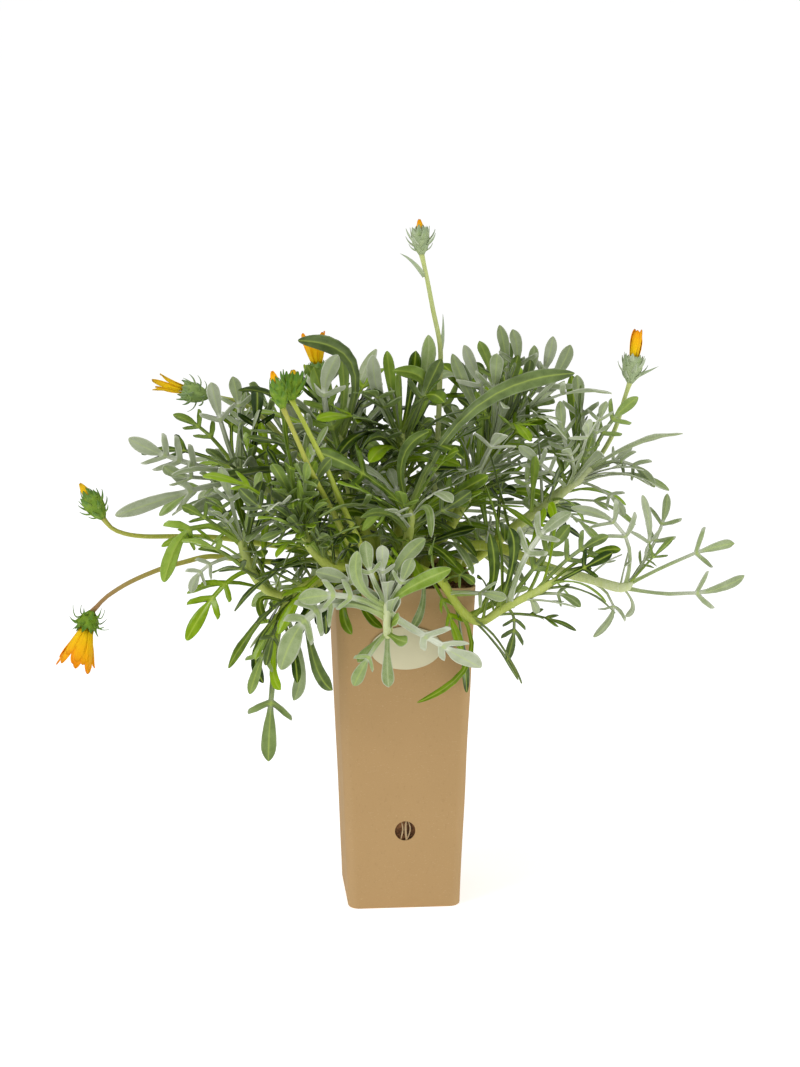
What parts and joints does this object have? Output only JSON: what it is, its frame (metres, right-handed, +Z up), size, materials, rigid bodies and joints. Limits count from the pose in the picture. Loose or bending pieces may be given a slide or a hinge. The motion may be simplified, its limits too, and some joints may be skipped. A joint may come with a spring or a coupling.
{
  "type": "potted gazania in a board carton",
  "caption": "Bushy trailing gazania with silvery lobed leaves and orange heads on long stalks, growing in soil in a tall tapered square board carton with a bare oval label and a drain hole.",
  "frame": {"origin": "centre of the carton's foot, on the surface it stands on", "axes": "+Z up, -Y towards the front wall with the label and the drain hole, +X to the right as seen from the front"},
  "size_m": [0.4612, 0.3147, 0.4674],
  "materials": {
    "kraft_board": "matt brown folded board with fine fibres and flecks",
    "label_paper": "smooth cream paper, bare",
    "potting_soil": "dark crumbly peat soil with pale roots",
    "silver_leaf": "matt silver-grey felted leaves on pale lime stems",
    "green_leaf": "satin dark green leaves with silver felted undersides on lime stems",
    "flower_stalk": "satin lime to olive stalks with green cups and bracts",
    "orange_petal": "satin orange petals, yellow towards the root",
    "yellow_petal": "matt dull yellow petals"
  },
  "bodies": {
    "root": {"carton": "kraft_board", "label": "label_paper", "soil": "potting_soil", "shoot_front": "silver_leaf", "shoot_front_right": "green_leaf", "shoot_far_right": "silver_leaf", "shoot_right_upper": "silver_leaf", "shoot_crown_right": "silver_leaf", "shoot_centre_front": "green_leaf", "shoot_centre": "green_leaf", "shoot_crown_left": "green_leaf", "shoot_left_upper": "green_leaf", "shoot_left_low": "green_leaf", "shoot_left_hanging": "green_leaf", "shoot_front_left": "green_leaf", "shoot_back_left": "green_leaf", "shoot_back_right": "green_leaf", "shoot_back_low": "green_leaf", "flower_top_stalk": "flower_stalk", "flower_top_petals": "orange_petal", "flower_right_stalk": "flower_stalk", "flower_right_petals": "orange_petal", "flower_hanging_stalk": "flower_stalk", "flower_hanging_petals": "orange_petal", "flower_left_bud_stalk": "flower_stalk", "flower_left_bud_petals": "yellow_petal", "flower_spent_stalk": "flower_stalk", "flower_spent_petals": "yellow_petal", "flower_bud_green_stalk": "flower_stalk", "flower_bud_green_petals": "yellow_petal", "flower_bud_orange_stalk": "flower_stalk", "flower_bud_orange_petals": "orange_petal", "flower_back_stalk": "flower_stalk", "flower_back_petals": "orange_petal"}
  },
  "joints": []
}
